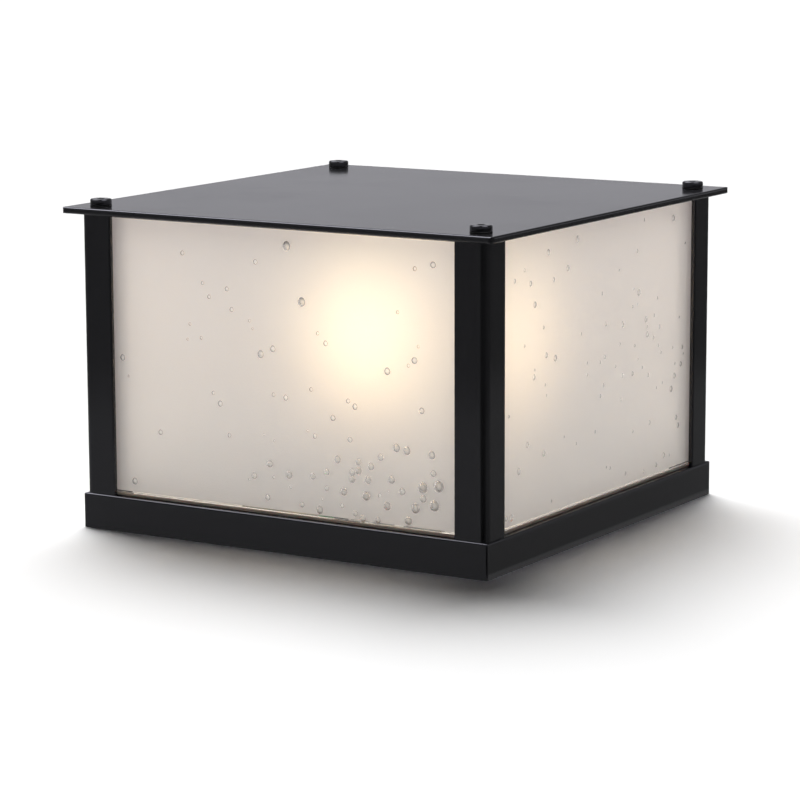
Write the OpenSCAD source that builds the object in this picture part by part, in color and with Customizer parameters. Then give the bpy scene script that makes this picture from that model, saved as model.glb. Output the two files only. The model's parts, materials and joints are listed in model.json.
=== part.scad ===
// Deck post cap light: a square lantern with four seeded glass panes between
// corner posts, under a flat roof plate, on a shallow base that caps a post.
// Millimetres. The origin is the centre of the base's bottom edge, +Z is up
// and the front pane faces -Y. Corners are named as seen from the front.

/* [Base] */
// Outside width of the square base
base_w = 160; // [150:1:220]
// Height of the base, from its bottom edge to the top of its deck
base_h = 12; // [10:0.5:30]
// Thickness of the skirt
skirt_t = 3; // [2:0.5:5]
// Thickness of the deck
deck_t = 2.5; // [2.5:0.1:4]
// Rounding of the base's upper edge
base_edge_r = 0.8; // [0.2:0.1:1.5]
// Rounding of the base's upright corners
base_corner_r = 0.6; // [0.2:0.1:3]
// Distance between the holes that take the screws into the post
mount_spacing = 100; // [90:1:104]
// Diameter of the holes for the screws into the post
mount_hole_d = 5.5; // [4:0.1:7]

/* [Post gasket] */
// Gap between the gasket under the deck and the inside of the skirt
gasket_gap = 7; // [6.5:0.5:10]
// Width of the gasket's band
gasket_band = 12; // [6:0.5:14]
// Thickness of the gasket
gasket_t = 2; // [1:0.5:4]

/* [Corner posts] */
// Clear height between the deck and the roof
lantern_h = 96.5; // [96:0.5:150]
// Side of the square bar that each corner post is cut from
post_w = 12; // [11:0.5:16]
// How far the posts stand back from the faces of the base
post_inset = 0.7; // [0:0.1:5]
// Rounding of each post's outer corner
post_outer_r = 2.5; // [0.5:0.1:4]
// Rounding of each post's other corners
post_inner_r = 0.5; // [0.2:0.1:1]
// Depth of the grooves that hold the panes
groove_d = 3; // [2:0.5:4]

/* [Glass] */
// Thickness of the panes
glass_t = 3; // [2.5:0.5:4]
// How far the panes' outer faces stand back from the posts' outer faces
glass_recess = 1.65; // [1:0.05:2.5]
// Gap on each side of a pane in its groove
glass_side_gap = 0.2; // [0.1:0.05:0.5]
// Gap between a pane's edge and the bottom of its groove
glass_end_gap = 0.3; // [0.2:0.05:1]
// Chamfer along the panes' edges
glass_arris = 0.5; // [0.2:0.1:1]
// Height of the strips that the panes stand on
cushion_h = 1; // [0.5:0.1:2]

/* [Roof] */
// How far the roof stands out past the base
roof_overhang = 4; // [1:0.1:15]
// Thickness of the roof plate
roof_t = 2.2; // [1.8:0.1:4]
// Rounding of the roof's upper and lower edges
roof_edge_r = 0.7; // [0.2:0.1:0.9]
// Rounding of the roof's upright corners
roof_corner_r = 1.5; // [0.5:0.1:6]
// Height of the seal strips between the roof and the panes
seal_h = 1; // [0.5:0.1:2]
// Gap between the ends of a seal strip and the posts
seal_end_gap = 0.3; // [0.2:0.1:1]

/* [Roof screws] */
// Distance from a post's outer faces to the axis of its screws
screw_inset = 4.9; // [4.5:0.1:6]
// Outside diameter of the screw thread
screw_d = 3.9; // [3:0.1:3.9]
// Radial running gap between a screw and the hole that it turns in
screw_gap = 0.05; // [0.02:0.01:0.1]
// Length of the roof screws under their heads
screw_len = 10; // [8:0.5:16]
// Diameter of the roof screws' heads
screw_head_d = 7.3; // [6.5:0.1:8]
// Height of the roof screws' heads
screw_head_h = 2; // [1.5:0.1:4]
// Rounding of the heads' upper edges
screw_head_r = 0.5; // [0.2:0.1:0.7]
// Width across the flats of the key socket in each head
socket_af = 2.5; // [2:0.5:3]
// Depth of the key socket
socket_depth = 1.2; // [0.8:0.1:1.4]
// Radial gap round a screw in the roof's clearance hole
roof_hole_gap = 0.3; // [0.2:0.05:0.5]
// Thickness of the sealing washers
washer_t = 0.4; // [0.3:0.1:1]
// Depth that the tapped holes in the posts go past the screw tips
tap_spare = 2.5; // [1:0.5:6]

/* [Lamp bracket] */
// Height of the space under the bracket's bridge
bracket_rise = 6; // [5:0.5:12]
// Thickness of the bracket's strip
bracket_t = 1.5; // [1:0.1:2.5]
// Width of the bracket's strip
bracket_w = 16; // [12:0.5:18]
// Half the length of the bridge between its legs
bracket_half = 18; // [15:0.5:22]
// Length of each foot
bracket_foot = 16; // [12:0.5:18]

/* [Lamp holder] */
// Gap between the lamp's cap and the screw shell round it
shell_gap = 0.55; // [0.3:0.05:0.8]
// Height of the holder's body
holder_h = 23; // [21:0.5:24]
// Thickness of the holder's floor
holder_floor = 5; // [4.5:0.1:5.5]
// Thickness of the holder's wall
holder_wall = 5.5; // [5:0.1:5.7]
// Thickness of the screw shell's sheet
shell_t = 0.4; // [0.3:0.05:0.6]
// Pitch of the lamp thread
lamp_pitch = 2.54; // [2:0.01:3]
// Depth of the rolled threads on the shell and the cap
thread_depth = 0.6; // [0.3:0.05:0.8]
// Outside diameter of the threaded nipple
nipple_d = 9.9; // [8:0.1:9.9]
// Thickness of the nipple's wall
nipple_wall = 1.6; // [1:0.1:2.5]
// Height of the lock nut
nut_h = 3; // [2:0.5:4]
// Width across the flats of the lock nut
nut_af = 14; // [13:0.5:15.5]

/* [Lamp] */
// Outside diameter of the lamp's screw cap over its threads
cap_d = 11.8; // [11:0.1:12]
// Diameter of the lamp's envelope
lamp_d = 35; // [30:1:40]
// Height of the envelope above the neck seal
lamp_len = 42; // [40:1:42]
// Radius of the envelope where it meets the cap
lamp_neck_r = 8.5; // [7.5:0.1:10]
// Thickness of the envelope
lamp_wall = 0.8; // [0.6:0.1:1.2]
// Height of the neck seal
neck_seal_h = 1.5; // [1:0.1:2.5]
// Outside diameter of the neck seal
neck_seal_d = 20; // [16:0.5:24]

/* [Wire entry] */
// Gap between the grommet and the terminal block
entry_gap = 3.5; // [2.5:0.5:4.5]
// Diameter of the grommet's bore
entry_bore_d = 10; // [6:0.5:12]
// Thickness of the grommet's wall in the deck's hole
grommet_wall = 3; // [1.5:0.1:3.2]
// How far the grommet's flanges reach past its neck
grommet_lip = 2.5; // [1.5:0.1:2.6]
// Thickness of each of the grommet's flanges
grommet_flange_t = 1.5; // [1:0.1:2]

/* [Terminals] */
// Gap between the terminal block and the pane beside it
block_gap = 16.65; // [15.65:0.05:17.65]
// Width of the terminal block, along the wires
block_w = 16; // [14:0.5:16]
// Distance between its poles
pole_pitch = 10; // [9.5:0.1:11]
// Height of its poles
pole_h = 12; // [11:0.5:13]
// Height of its base bar
bar_h = 3.2; // [2.5:0.1:3.4]
// Height of the wires' axis in the block above the deck
wire_h = 5.2; // [5:0.1:5.6]
// Diameter of the insulated leads
lead_d = 2.2; // [1.6:0.1:2.4]
// Gap between the earth lead's bow and the pane beside it
lead_gap = 4.05; // [3:0.05:5]
// Distance from the front-to-back middle line to the earth screw
earth_y = 30; // [28:0.5:32]

/* [Hidden] */
$fn = 64;

// Colours as the photograph shows them
paint_black = [0.07, 0.07, 0.08];
frosted_white = [0.93, 0.90, 0.85];
strip_brown = [0.42, 0.38, 0.35];
rubber_black = [0.10, 0.10, 0.10];
zinc_grey = [0.72, 0.73, 0.75];
brass_yellow = [0.78, 0.62, 0.30];
porcelain = [0.93, 0.92, 0.88];
lamp_warm = [1.00, 0.93, 0.78];
nylon_ivory = [0.88, 0.86, 0.78];

// A cut reaches this far past a surface, so that no skin is left
past = 1;
// A press-in piece is this much smaller than its hole, all round
snug = 0.05;

// Base
half = base_w / 2;
tray_in = base_w - 2 * skirt_t;
deck_z = base_h;
deck_under = base_h - deck_t;
roof_z = deck_z + lantern_h;
roof_w = base_w + 2 * roof_overhang;

// Posts and panes, as distances from the lantern's axis
post_face = half - post_inset;
post_back = post_face - post_w;
post_mid = post_face - post_w / 2;
screw_xy = post_face - screw_inset;
pane_face = post_face - glass_recess;
pane_mid = pane_face - glass_t / 2;
pane_back = pane_face - glass_t;
groove_w = glass_t + 2 * glass_side_gap;
pane_w = 2 * (post_back + groove_d - glass_end_gap);
pane_z = deck_z + cushion_h;
pane_h = lantern_h - cushion_h - seal_h;

// Screws, washers and their holes
screw_r = screw_d / 2;
tap_r = screw_r + screw_gap;
roof_top = roof_z + roof_t;
screw_seat = roof_top + washer_t;
tap_depth = screw_len - roof_t - washer_t + tap_spare;
flush_head_d = 7.2;
flush_head_h = 2.2;
base_screw_len = 10;
pan_head_d = 7;
pan_head_h = 2.4;
slot_w = 0.9;
slot_depth = 1;

// Lamp bracket
bracket_end = bracket_half + bracket_foot;
foot_mid = bracket_half + bracket_foot / 2;
bracket_under = deck_z + bracket_rise;

// Lamp holder, from the bracket up
nipple_r = nipple_d / 2;
nipple_hole_r = nipple_r + snug;
nipple_in_holder = 4;
nipple_past_nut = 0.5;
holder_z = bracket_under + bracket_t;
cavity_z = holder_z + holder_floor;
rim_z = holder_z + holder_h;
cap_r = cap_d / 2;
shell_in_r = cap_r + shell_gap;
cavity_r = shell_in_r + thread_depth + shell_t + snug;
holder_r = cavity_r + holder_wall;
shell_z = cavity_z;
shell_rim_gap = 1;
lead_exit_z = holder_z + holder_floor / 2;
lead_exit_angle = 35;
lead_exit_depth = 3.5;
contact_h = 2.4;
contact_r = 4;
contact_plate_t = 0.8;

// Lamp, from its tip up
tip_gap = 0.1;
tip_z = cavity_z + contact_h + tip_gap;
tip_h = 0.8;
tip_r = 2.4;
insulator_h = 1.8;
cap_z = tip_z + tip_h + insulator_h;
seal_top = rim_z + neck_seal_h;
lamp_z = seal_top + 0.2;
lamp_r = lamp_d / 2;
lamp_ball_z = lamp_z + lamp_len - lamp_r;
module_r = 9;
module_t = 1.5;
stem_r = 4;
stem_h = 12;

// Terminal block beside the left pane, and the grommet beside the block
block_x = pane_back - block_gap - block_w / 2;
grommet_r = entry_bore_d / 2 + grommet_wall;
entry_hole_r = grommet_r + snug;
flange_r = grommet_r + grommet_lip;
entry_x = block_x - block_w / 2 - entry_gap - flange_r;

// Terminals and leads
pole_w = 6.2;
wire_z = deck_z + wire_h;
wire_hole_depth = 6.5;
lead_r = lead_d / 2;
bow_x = lead_gap + lead_r - pane_back;
lead_hole_r = lead_r + 0.3;
clamp_screw_r = 1.5;
clamp_screw_h = 4.6;
clamp_screw_x = 4;
block_screw_r = 1.1;
block_head_r = (pole_pitch - pole_w) / 2 - snug;
block_head_h = 1.8;
tag_t = 0.8;
tag_r = 4;
tag_reach = 9.5;
tag_barrel_r = 1.7;
tag_barrel_h = 4;
tag_barrel_depth = 3;
earth_x = -block_x;
lead_sides = 8;
lead_steps = 4;

// Signs of X and Y for each corner
FRONT_LEFT = [-1, -1];
FRONT_RIGHT = [1, -1];
BACK_RIGHT = [1, 1];
BACK_LEFT = [-1, 1];
CORNERS = [FRONT_LEFT, FRONT_RIGHT, BACK_RIGHT, BACK_LEFT];
SIDES = [0, 90, 180, 270];

// ---- Shared shapes ----

// Rectangle about the origin with its four corners rounded, in the order
// upper right, upper left, lower left, lower right
module eased_rect(w, d, radii) {
    quarters = [[1, 1], [-1, 1], [-1, -1], [1, -1]];
    difference() {
        square([w, d], center = true);
        for (i = [0 : 3])
            translate([quarters[i].x * (w / 2 - radii[i]), quarters[i].y * (d / 2 - radii[i])])
                rotate(90 * i)
                    difference() {
                        square(radii[i] + past);
                        circle(radii[i]);
                    }
    }
}

// Square block standing on z = 0, with rounded upright corners and rounded
// upper and lower edges
module eased_block(w, h, corner_r, upper_r, lower_r) {
    side = [upper_r, upper_r, lower_r, lower_r];
    intersection() {
        linear_extrude(h) eased_rect(w, w, [corner_r, corner_r, corner_r, corner_r]);
        translate([0, 0, h / 2]) rotate([90, 0, 0])
            linear_extrude(w + 2 * past, center = true) eased_rect(w, h, side);
        translate([0, 0, h / 2]) rotate([90, 0, 90])
            linear_extrude(w + 2 * past, center = true) eased_rect(w, h, side);
    }
}

// Places a piece made for the back right corner at another corner
module at_corner(signs) {
    mirror([signs.x < 0 ? 1 : 0, 0, 0])
        mirror([0, signs.y < 0 ? 1 : 0, 0])
            children();
}

// Straight tube or ring
module ring(out_r, in_r, h) {
    difference() {
        cylinder(r = out_r, h = h);
        translate([0, 0, -past]) cylinder(r = in_r, h = h + 2 * past);
    }
}

// Screw with a pan head and a driver slot, its head standing on z = 0 and
// its shank going down
module pan_screw(shank_r, shank_len, head_r, head_h) {
    difference() {
        rotate_extrude() intersection() {
            translate([0, head_h / 2]) eased_rect(2 * head_r, head_h, [head_h / 3, head_h / 3, 0.01, 0.01]);
            square([head_r, head_h]);
        }
        translate([-head_r - past, -slot_w / 2, head_h - slot_depth])
            cube([2 * (head_r + past), slot_w, slot_depth + past]);
    }
    translate([0, 0, -shank_len]) cylinder(r = shank_r, h = shank_len + snug);
}

// Radius of a rolled thread at a height above its start
function roll(mid_r, z) = mid_r + thread_depth / 2 * cos(360 * z / lamp_pitch);

// Points up a rolled thread, eight to a pitch
function roll_line(mid_r, z0, z1) = [
    for (i = [0 : floor((z1 - z0) / lamp_pitch * 8)])
        let (z = i * lamp_pitch / 8) [roll(mid_r, z), z0 + z]
];
function backwards(list) = [for (i = [len(list) - 1 : -1 : 0]) list[i]];

// ---- Base ----

module deck_hole(x, y, r) {
    translate([x, y, deck_under - past]) cylinder(r = r, h = deck_t + 2 * past);
}

module base_tray() {
    color(paint_black) difference() {
        eased_block(base_w, base_h, base_corner_r, base_edge_r, 0.01);
        translate([-tray_in / 2, -tray_in / 2, -past]) cube([tray_in, tray_in, deck_under + past]);
        for (c = CORNERS) {
            deck_hole(c.x * mount_spacing / 2, c.y * mount_spacing / 2, mount_hole_d / 2);
            deck_hole(c.x * screw_xy, c.y * screw_xy, tap_r);
            translate([c.x * screw_xy, c.y * screw_xy, deck_under - snug])
                cylinder(r1 = flush_head_d / 2 + 2 * snug, r2 = tap_r, h = flush_head_h + snug);
        }
        deck_hole(-entry_x, 0, entry_hole_r);
        for (s = [-1, 1]) {
            deck_hole(0, s * foot_mid, tap_r);
            deck_hole(-block_x, s * pole_pitch / 2, block_screw_r + snug);
        }
        deck_hole(earth_x, earth_y, tap_r);
    }
}

module post_gasket() {
    gasket_w = tray_in - 2 * gasket_gap;
    color(rubber_black) translate([0, 0, deck_under - gasket_t]) linear_extrude(gasket_t)
        difference() {
            square(gasket_w, center = true);
            square(gasket_w - 2 * gasket_band, center = true);
        }
}

module post_base_screws() {
    color(zinc_grey) for (c = CORNERS) translate([c.x * screw_xy, c.y * screw_xy, deck_under]) difference() {
        union() {
            cylinder(r1 = flush_head_d / 2, r2 = screw_r, h = flush_head_h);
            cylinder(r = screw_r, h = base_screw_len);
        }
        translate([0, 0, -past]) cylinder(d = socket_af / cos(30), h = socket_depth + past, $fn = 6);
    }
}

// ---- Corner posts ----

module corner_post(signs) {
    radii = [post_outer_r, post_inner_r, post_inner_r, post_inner_r];
    color(paint_black) at_corner(signs) translate([0, 0, deck_z]) difference() {
        linear_extrude(lantern_h) difference() {
            translate([post_mid, post_mid]) eased_rect(post_w, post_w, radii);
            translate([post_back - past, pane_mid - groove_w / 2]) square([groove_d + past, groove_w]);
            translate([pane_mid - groove_w / 2, post_back - past]) square([groove_w, groove_d + past]);
        }
        translate([screw_xy, screw_xy, lantern_h - tap_depth]) cylinder(r = tap_r, h = tap_depth + past);
        translate([screw_xy, screw_xy, -past])
            cylinder(r = tap_r, h = base_screw_len - deck_t + tap_spare + past);
    }
}

// ---- Glass ----

// Pane for the side that lies at this angle from the front
module pane(angle) {
    color(frosted_white, 0.8) rotate(angle) translate([0, -pane_mid, pane_z]) difference() {
        translate([-pane_w / 2, -glass_t / 2, 0]) cube([pane_w, glass_t, pane_h]);
        for (side = [-1, 1], z = [0, pane_h])
            translate([0, side * glass_t / 2, z]) rotate([45, 0, 0])
                cube([pane_w + 2 * past, glass_arris * sqrt(2), glass_arris * sqrt(2)], center = true);
        for (side = [-1, 1], x = [-pane_w / 2, pane_w / 2])
            translate([x, side * glass_t / 2, pane_h / 2]) rotate(45)
                cube([glass_arris * sqrt(2), glass_arris * sqrt(2), pane_h + 2 * past], center = true);
    }
}

module glass_cushions() {
    color(strip_brown) for (a = SIDES) rotate(a)
        translate([-pane_w / 2, -pane_mid - glass_t / 2, deck_z]) cube([pane_w, glass_t, cushion_h]);
}

// ---- Roof ----

module roof_plate() {
    color(paint_black) difference() {
        translate([0, 0, roof_z]) eased_block(roof_w, roof_t, roof_corner_r, roof_edge_r, roof_edge_r);
        for (c = CORNERS) translate([c.x * screw_xy, c.y * screw_xy, roof_z - past])
            cylinder(r = screw_r + roof_hole_gap, h = roof_t + 2 * past);
    }
}

module roof_seals() {
    seal_l = 2 * (post_back - seal_end_gap);
    color(rubber_black) for (a = SIDES) rotate(a)
        translate([-seal_l / 2, -pane_mid - glass_t / 2, roof_z - seal_h]) cube([seal_l, glass_t, seal_h]);
}

module washer(signs) {
    color(rubber_black) translate([signs.x * screw_xy, signs.y * screw_xy, roof_top])
        ring(screw_head_d / 2, tap_r, washer_t);
}

module roof_screw(signs) {
    head_r = screw_head_d / 2;
    color(paint_black) translate([signs.x * screw_xy, signs.y * screw_xy, screw_seat]) {
        difference() {
            rotate_extrude() intersection() {
                translate([0, screw_head_h / 2])
                    eased_rect(screw_head_d, screw_head_h, [screw_head_r, screw_head_r, 0.01, 0.01]);
                square([head_r, screw_head_h]);
            }
            translate([0, 0, screw_head_h - socket_depth])
                cylinder(d = socket_af / cos(30), h = socket_depth + past, $fn = 6);
        }
        translate([0, 0, -screw_len]) cylinder(r = screw_r, h = screw_len + snug);
    }
}

// ---- Lamp bracket and holder ----

module lamp_bracket() {
    in_half = bracket_half - bracket_t;
    bridge_top = bracket_rise + bracket_t;
    bend_r = bracket_t;
    color(zinc_grey) translate([0, 0, deck_z]) difference() {
        rotate([90, 0, 90]) linear_extrude(bracket_w, center = true) difference() {
            polygon([
                [-bracket_end, 0], [-in_half, 0], [-in_half, bracket_rise],
                [in_half, bracket_rise], [in_half, 0], [bracket_end, 0],
                [bracket_end, bracket_t], [bracket_half, bracket_t], [bracket_half, bridge_top],
                [-bracket_half, bridge_top], [-bracket_half, bracket_t], [-bracket_end, bracket_t]
            ]);
            for (s = [-1, 1]) translate([s * (bracket_half - bend_r), bridge_top - bend_r])
                rotate(s > 0 ? 0 : 90) difference() {
                    square(bend_r + past);
                    circle(bend_r);
                }
        }
        translate([0, 0, bracket_rise - past]) cylinder(r = nipple_hole_r, h = bracket_t + 2 * past);
        for (s = [-1, 1]) translate([0, s * foot_mid, -past]) cylinder(r = tap_r, h = bracket_t + 2 * past);
    }
}

module bracket_screws() {
    color(zinc_grey) for (s = [-1, 1]) translate([0, s * foot_mid, deck_z + bracket_t])
        pan_screw(screw_r, bracket_t + deck_t, pan_head_d / 2, pan_head_h);
}

module holder_nipple() {
    nipple_z = bracket_under - nut_h - nipple_past_nut;
    color(brass_yellow) translate([0, 0, nipple_z])
        ring(nipple_r, nipple_r - nipple_wall, holder_z + nipple_in_holder - nipple_z);
}

module nipple_nut() {
    color(brass_yellow) translate([0, 0, bracket_under - nut_h]) difference() {
        cylinder(d = nut_af / cos(30), h = nut_h, $fn = 6);
        translate([0, 0, -past]) cylinder(r = nipple_hole_r, h = nut_h + 2 * past);
    }
}

module holder_body() {
    color(porcelain) difference() {
        translate([0, 0, holder_z]) rotate_extrude() intersection() {
            translate([0, holder_h / 2]) eased_rect(2 * holder_r, holder_h, [1, 1, 1, 1]);
            square([holder_r, holder_h]);
        }
        translate([0, 0, cavity_z]) cylinder(r = cavity_r, h = holder_h);
        translate([0, 0, holder_z - past]) cylinder(r = nipple_hole_r, h = nipple_in_holder + past);
        for (s = [-1, 1]) rotate(180 + s * lead_exit_angle)
            translate([holder_r - lead_exit_depth, 0, lead_exit_z]) rotate([0, 90, 0])
                cylinder(r = lead_hole_r, h = lead_exit_depth + past);
    }
}

module screw_shell() {
    top = rim_z - shell_rim_gap;
    mid_r = shell_in_r + thread_depth / 2;
    line = roll_line(mid_r, shell_z, top);
    outer = [for (p = line) [p.x + shell_t, p.y]];
    color(brass_yellow) rotate_extrude() polygon(concat(line, backwards(outer)));
}

module centre_contact() {
    color(brass_yellow) translate([0, 0, cavity_z]) {
        cylinder(r = contact_r, h = contact_plate_t);
        cylinder(r = tip_r - 0.2, h = contact_h);
    }
}

// ---- Lamp ----

module neck_seal() {
    color(rubber_black) translate([0, 0, rim_z]) ring(neck_seal_d / 2, cap_r + 2 * snug, neck_seal_h);
}

// Half outline of a pear shape: a ball with a cone that touches it and
// narrows to the neck
module pear_half(ball_r, neck_r, ball_z, neck_z) {
    run = [neck_r, neck_z - ball_z];
    turn = atan2(run.y, run.x) + acos(ball_r / norm(run));
    touch = [ball_r * cos(turn), ball_z + ball_r * sin(turn)];
    intersection() {
        union() {
            translate([0, ball_z]) circle(ball_r);
            polygon([[0, neck_z], [neck_r, neck_z], touch, [0, touch.y]]);
        }
        translate([0, neck_z]) square([ball_r, 2 * ball_r + ball_z - neck_z]);
    }
}

module lamp_envelope() {
    color(lamp_warm, 0.9) rotate_extrude() difference() {
        pear_half(lamp_r, lamp_neck_r, lamp_ball_z, lamp_z);
        pear_half(lamp_r - lamp_wall, lamp_neck_r - lamp_wall, lamp_ball_z, lamp_z - past);
    }
}

module lamp_cap() {
    collar_r = lamp_neck_r - lamp_wall - snug;
    thread_top = rim_z - shell_rim_gap;
    line = roll_line(cap_r - thread_depth / 2, cap_z, thread_top);
    color(zinc_grey) rotate_extrude() polygon(concat(
        [[0, cap_z]], line,
        [[cap_r, thread_top + snug], [cap_r, lamp_z], [collar_r, lamp_z], [collar_r, lamp_z + 1], [0, lamp_z + 1]]
    ));
}

module lamp_insulator() {
    color(rubber_black) translate([0, 0, tip_z + tip_h])
        cylinder(r1 = tip_r + 0.4, r2 = cap_r - thread_depth - 0.2, h = insulator_h);
}

module lamp_tip() {
    color(zinc_grey) translate([0, 0, tip_z]) rotate_extrude() intersection() {
        translate([0, tip_h / 2]) eased_rect(2 * tip_r, tip_h, [0.01, 0.01, 0.5, 0.5]);
        square([tip_r, tip_h]);
    }
}

module lamp_module() {
    color(porcelain) translate([0, 0, lamp_z + 1]) {
        cylinder(r = stem_r, h = stem_h);
        translate([0, 0, stem_h]) cylinder(r = module_r, h = module_t);
    }
}

// ---- Wire entry and terminals ----

module wire_grommet() {
    bore_r = entry_bore_d / 2;
    low = deck_under - grommet_flange_t;
    high = deck_z + grommet_flange_t;
    color(rubber_black) translate([-entry_x, 0, 0]) rotate_extrude() polygon([
        [bore_r, low], [flange_r, low], [flange_r, deck_under], [grommet_r, deck_under],
        [grommet_r, deck_z], [flange_r, deck_z], [flange_r, high], [bore_r, high]
    ]);
}

module terminal_block() {
    bar_l = 2 * pole_pitch + pole_w;
    color(nylon_ivory) translate([-block_x, 0, deck_z]) difference() {
        union() {
            translate([-block_w / 2, -bar_l / 2, 0]) cube([block_w, bar_l, bar_h]);
            for (p = [-1 : 1]) translate([0, p * pole_pitch, 0]) rotate([90, 0, 0])
                linear_extrude(pole_w, center = true) translate([0, pole_h / 2])
                    eased_rect(block_w, pole_h, [2, 2, 0.01, 0.01]);
        }
        for (p = [-1 : 1], s = [-1, 1]) {
            translate([s * (block_w / 2 + past), p * pole_pitch, wire_z - deck_z]) rotate([0, -s * 90, 0])
                cylinder(r = lead_hole_r, h = wire_hole_depth + past);
            translate([s * clamp_screw_x, p * pole_pitch, wire_z - deck_z])
                cylinder(r = clamp_screw_r + snug, h = pole_h);
        }
        for (s = [-1, 1]) translate([0, s * pole_pitch / 2, -past])
            cylinder(r = block_screw_r + snug, h = bar_h + 2 * past);
    }
}

module terminal_screws() {
    color(brass_yellow) for (p = [-1 : 1], s = [-1, 1])
        translate([-block_x + s * clamp_screw_x, p * pole_pitch, wire_z + lead_r + snug]) difference() {
            cylinder(r = clamp_screw_r, h = clamp_screw_h);
            translate([-2 * clamp_screw_r, -slot_w / 3, clamp_screw_h - slot_depth])
                cube([4 * clamp_screw_r, 2 * slot_w / 3, slot_depth + past]);
        }
}

module block_screws() {
    color(zinc_grey) for (s = [-1, 1]) translate([-block_x, s * pole_pitch / 2, deck_z + bar_h])
        pan_screw(block_screw_r, bar_h + deck_t, block_head_r, block_head_h);
}

module earth_tag() {
    color(zinc_grey) translate([earth_x, earth_y, deck_z]) difference() {
        union() {
            cylinder(r = tag_r, h = tag_t);
            translate([-tag_reach, -tag_barrel_r, 0]) cube([tag_reach, 2 * tag_barrel_r, tag_t]);
            translate([-tag_reach, 0, tag_barrel_r]) rotate([0, 90, 0])
                cylinder(r = tag_barrel_r, h = tag_barrel_h);
        }
        translate([0, 0, -past]) cylinder(r = tap_r, h = tag_t + 2 * past);
        translate([-tag_reach - past, 0, tag_barrel_r]) rotate([0, 90, 0])
            cylinder(r = lead_r + snug, h = tag_barrel_depth + past);
    }
}

module earth_screw() {
    color("green") translate([earth_x, earth_y, deck_z + tag_t])
        pan_screw(screw_r, tag_t + deck_t, pan_head_d / 2, pan_head_h);
}

// ---- Leads ----

// Point on a smooth curve through four route points, between the middle two
function curve_at(a, b, c, d, t) =
    0.5 * (2 * b + (c - a) * t + (2 * a - 5 * b + 4 * c - d) * t * t + (3 * b - a - 3 * c + d) * t * t * t);
function route_point(route, i) = route[max(0, min(len(route) - 1, i))];
function smooth(route) = concat(
    [for (i = [0 : len(route) - 2], k = [0 : lead_steps - 1])
        curve_at(route_point(route, i - 1), route[i], route[i + 1], route_point(route, i + 2), k / lead_steps)],
    [route[len(route) - 1]]
);
function unit(v) = v / norm(v);

// One unbroken tube along a route that never runs straight up
module swept_lead(route, r) {
    line = smooth(route);
    count = len(line);
    ahead = [for (i = [0 : count - 1]) unit(line[min(count - 1, i + 1)] - line[max(0, i - 1)])];
    points = [
        for (i = [0 : count - 1], k = [0 : lead_sides - 1])
            let (across = unit(cross([0, 0, 1], ahead[i])), over = cross(ahead[i], across))
                line[i] + r * (cos(360 * k / lead_sides) * across + sin(360 * k / lead_sides) * over)
    ];
    sides = [
        for (i = [0 : count - 2], k = [0 : lead_sides - 1])
            let (a = i * lead_sides + k, b = i * lead_sides + (k + 1) % lead_sides)
                each [[a, b, b + lead_sides], [a, b + lead_sides, a + lead_sides]]
    ];
    start = [for (k = [1 : lead_sides - 2]) [0, k + 1, k]];
    last = (count - 1) * lead_sides;
    end = [for (k = [1 : lead_sides - 2]) [last, last + k, last + k + 1]];
    polyhedron([for (p = points) p], concat([for (f = concat(sides, start, end)) backwards(f)]));
}

// From the holder's side hole, round the grommet and into an outer pole
exit_far = holder_r + 2;
exit_near = holder_r - lead_exit_depth + 0.5;
supply_route = [
    [-exit_near * cos(lead_exit_angle), exit_near * sin(lead_exit_angle), lead_exit_z],
    [-exit_far * cos(lead_exit_angle), exit_far * sin(lead_exit_angle), lead_exit_z],
    [-entry_x + 8, flange_r + 2.5, lead_exit_z - 1],
    [-entry_x, flange_r + 3.5, lead_exit_z - 3],
    [-entry_x - 7, pole_pitch + 2, wire_z + 0.4],
    [-block_x + block_w / 2 + 2, pole_pitch, wire_z],
    [-block_x + block_w / 2 - wire_hole_depth + 1, pole_pitch, wire_z]
];
// From the earth tag's barrel, out and round into the middle pole
earth_route = [
    [earth_x - tag_reach + tag_barrel_depth - 0.5, earth_y, deck_z + tag_barrel_r],
    [earth_x - tag_reach, earth_y, deck_z + tag_barrel_r],
    [earth_x - tag_reach - 1.5, earth_y, deck_z + tag_barrel_r],
    [bow_x + 3.5, earth_y - 2, deck_z + 2.5],
    [bow_x + 0.5, earth_y - 8, deck_z + 3.5],
    [bow_x, pole_pitch + 2, wire_z - 0.7],
    [bow_x + 1.5, 4, wire_z - 0.2],
    [bow_x + 5.5, 0.5, wire_z],
    [-block_x - block_w / 2 - 2, 0, wire_z],
    [-block_x - block_w / 2 + wire_hole_depth - 1, 0, wire_z]
];

module live_lead() {
    color([0.45, 0.25, 0.12]) mirror([0, 1, 0]) swept_lead(supply_route, lead_r);
}

module neutral_lead() {
    color([0.25, 0.45, 0.75]) swept_lead(supply_route, lead_r);
}

module earth_lead() {
    color([0.55, 0.70, 0.20]) swept_lead(earth_route, lead_r);
}

base_tray();
post_gasket();
post_base_screws();
corner_post(FRONT_LEFT);  // post_front_left
corner_post(FRONT_RIGHT);  // post_front_right
corner_post(BACK_RIGHT);  // post_back_right
corner_post(BACK_LEFT);  // post_back_left
pane(0);  // glass_front
pane(90);  // glass_right
pane(180);  // glass_back
pane(270);  // glass_left
glass_cushions();
roof_plate();
roof_seals();
washer(FRONT_LEFT);  // washer_front_left
washer(FRONT_RIGHT);  // washer_front_right
washer(BACK_RIGHT);  // washer_back_right
washer(BACK_LEFT);  // washer_back_left
roof_screw(FRONT_LEFT);  // screw_front_left
roof_screw(FRONT_RIGHT);  // screw_front_right
roof_screw(BACK_RIGHT);  // screw_back_right
roof_screw(BACK_LEFT);  // screw_back_left
lamp_bracket();
bracket_screws();
holder_nipple();
nipple_nut();
holder_body();
screw_shell();
centre_contact();
neck_seal();
lamp_envelope();
lamp_cap();
lamp_insulator();
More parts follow.
